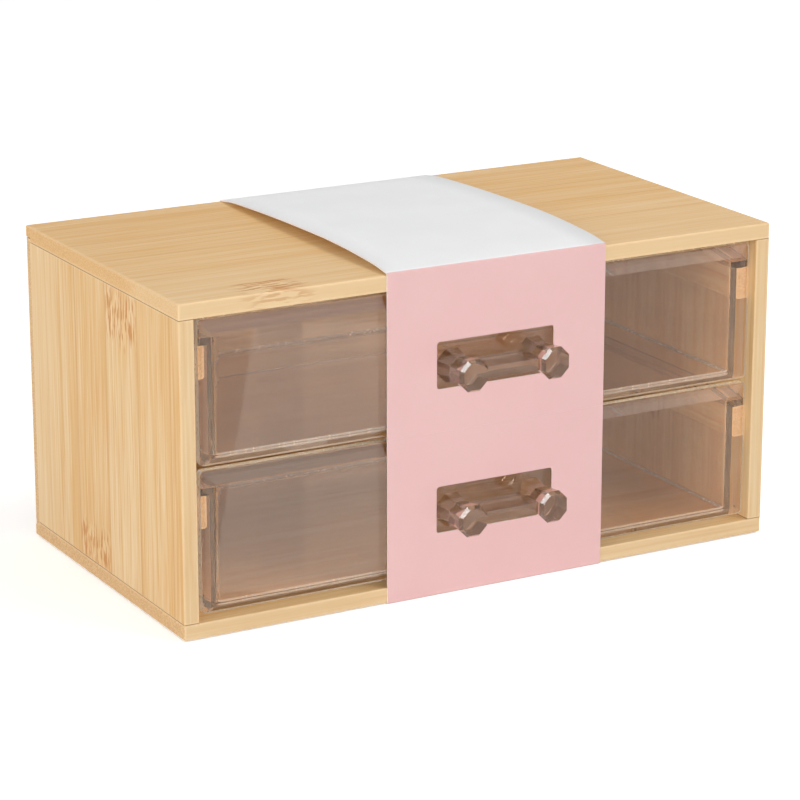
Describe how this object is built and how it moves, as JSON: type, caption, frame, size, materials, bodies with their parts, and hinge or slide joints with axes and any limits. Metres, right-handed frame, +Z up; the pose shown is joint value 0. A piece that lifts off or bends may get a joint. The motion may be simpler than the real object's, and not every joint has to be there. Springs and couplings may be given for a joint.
{
  "type": "jewelry box with drawers",
  "caption": "Small bamboo chest with smoked see-through drawers on side runners, clear faceted handles and a bare card band round its middle.",
  "frame": {"origin": "middle of the whole footprint, handles and card band included, on the surface that the chest stands on", "axes": "+Z up, +X to the right of somebody facing the drawers, -Y out of the front, the way the drawers pull"},
  "size_m": [0.19, 0.117, 0.0983],
  "materials": {
    "bamboo": "sanded bamboo with a thin satin lacquer",
    "smoked_plastic": "clear polystyrene tinted smoke brown, polished",
    "clear_plastic": "clear moulded plastic with flat facets",
    "white_card": "uncoated white card",
    "pink_card": "card coloured pale pink on its outer side"
  },
  "bodies": {
    "case": {"top_board": "bamboo", "bottom_board": "bamboo", "left_side_board": "bamboo", "right_side_board": "bamboo", "back_panel": "bamboo", "upper_left_runner": "bamboo", "upper_right_runner": "bamboo", "lower_left_runner": "bamboo", "lower_right_runner": "bamboo", "card_band": "white_card"},
    "lower_drawer_body": {"lower_drawer": "smoked_plastic", "lower_handle": "clear_plastic", "lower_band_front": "pink_card"},
    "upper_drawer_body": {"upper_drawer": "smoked_plastic", "upper_handle": "clear_plastic", "upper_band_front": "pink_card"}
  },
  "joints": [
    {"name": "lower_drawer_slide", "type": "slide", "parent": "case", "child": "lower_drawer_body", "axis": [0, -1, 0], "range_m": [0, 0.08]},
    {"name": "upper_drawer_slide", "type": "slide", "parent": "case", "child": "upper_drawer_body", "axis": [0, -1, 0], "range_m": [0, 0.08]}
  ]
}
